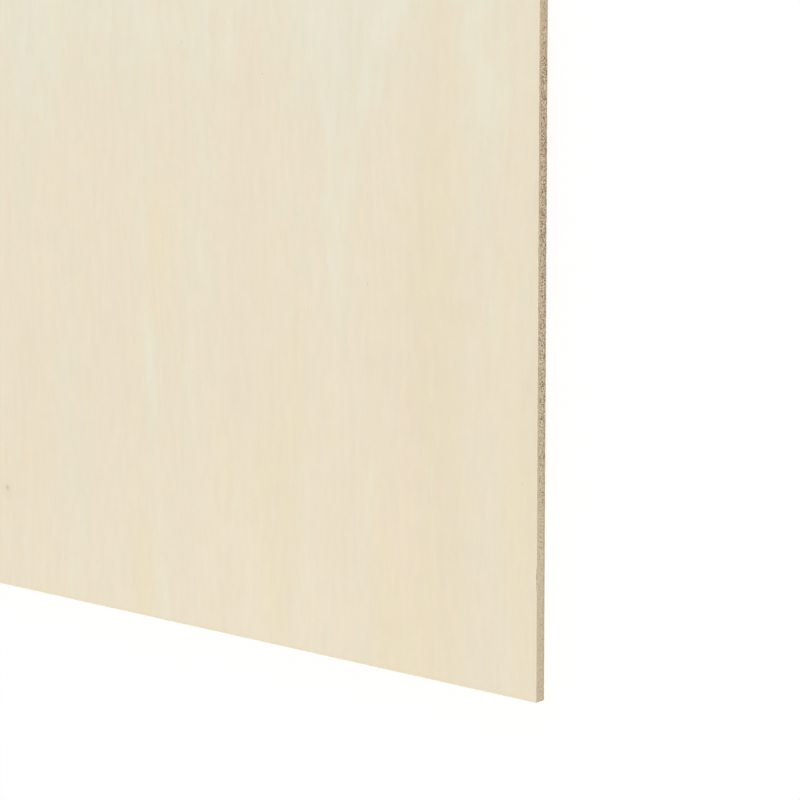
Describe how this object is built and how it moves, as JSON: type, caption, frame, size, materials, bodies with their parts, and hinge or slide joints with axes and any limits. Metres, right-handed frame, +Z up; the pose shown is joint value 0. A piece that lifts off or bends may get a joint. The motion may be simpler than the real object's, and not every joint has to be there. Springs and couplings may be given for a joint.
{
  "type": "plywood sheet",
  "caption": "Thin pale plywood sheet, square and sawn to size, with a face veneer and a back veneer glued flush to a cross-grained core ply.",
  "frame": {"origin": "centre of the sheet's underside", "axes": "+Z up through the thickness to the show face, +Y along the grain of the show face, +X across that grain"},
  "size_m": [0.305, 0.305, 0.003],
  "materials": {
    "face_veneer": "bare, finely sanded",
    "core_ply": "bare, sawn end grain",
    "back_veneer": "bare, finely sanded"
  },
  "bodies": {
    "root": {"face_veneer": "face_veneer", "core_ply": "core_ply", "back_veneer": "back_veneer"}
  },
  "joints": []
}
